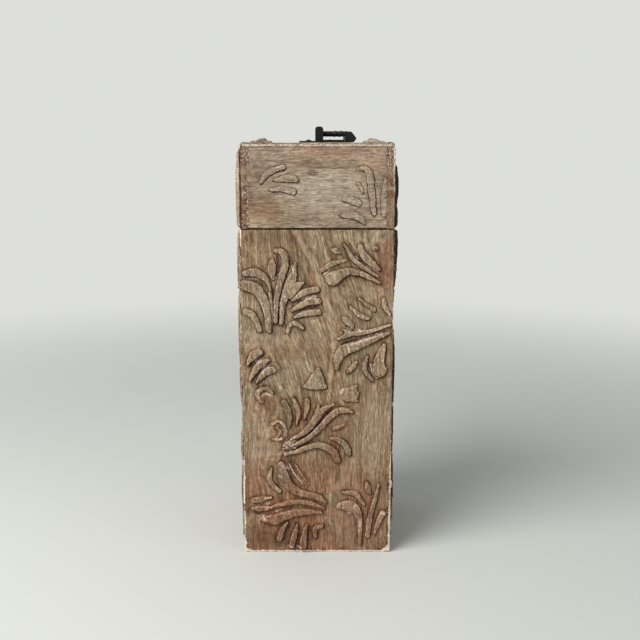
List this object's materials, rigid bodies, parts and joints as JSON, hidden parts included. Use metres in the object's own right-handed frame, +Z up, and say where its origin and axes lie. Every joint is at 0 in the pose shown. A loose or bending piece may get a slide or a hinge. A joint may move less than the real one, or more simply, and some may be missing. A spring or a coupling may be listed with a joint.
{
  "type": "donation box",
  "caption": "Tall square carved wooden donation box with a coin slot in its hinged lid and a folding iron bail handle on top.",
  "frame": {"origin": "centre of the base, on the surface it stands on", "axes": "+Z up, the carved front faces -Y, and +X is to the right seen from the front"},
  "size_m": [0.1276, 0.1289, 0.3465],
  "materials": {
    "carved_wood": "limed, carved and worn",
    "limed_lid_wood": "limed and worn",
    "plain_wood": "limed, plain",
    "black_iron": "forged, waxed black",
    "dull_steel": "dulled"
  },
  "bodies": {
    "box": {"front_board": "carved_wood", "back_board": "plain_wood", "left_board": "carved_wood", "right_board": "carved_wood", "base_board": "plain_wood", "back_board_pins": "dull_steel", "hinge_left_box_leaf": "black_iron", "hinge_right_box_leaf": "black_iron", "hinge_left_pin": "black_iron", "hinge_right_pin": "black_iron", "hinge_box_screws": "black_iron"},
    "lid": {"lid_front_board": "limed_lid_wood", "lid_back_board": "plain_wood", "lid_left_board": "limed_lid_wood", "lid_right_board": "limed_lid_wood", "lid_top_board": "limed_lid_wood", "lid_top_pins": "dull_steel", "top_carving_left": "limed_lid_wood", "top_carving_right": "limed_lid_wood", "hinge_left_lid_leaf": "black_iron", "hinge_right_lid_leaf": "black_iron", "hinge_lid_screws": "black_iron", "handle_bracket_front": "black_iron", "handle_bracket_rear": "black_iron", "handle_screws": "black_iron"},
    "bail": {"handle_bail": "black_iron"}
  },
  "joints": [
    {"name": "lid_hinge", "type": "hinge", "parent": "box", "child": "lid", "pos_m": [0, 0.0633, 0.2682], "axis": [-1, 0, 0], "range_deg": [0, 180]},
    {"name": "bail_swing", "type": "hinge", "parent": "lid", "child": "bail", "pos_m": [0.0016, 0, 0.3411], "axis": [0, -1, 0], "range_deg": [0, 192]}
  ]
}
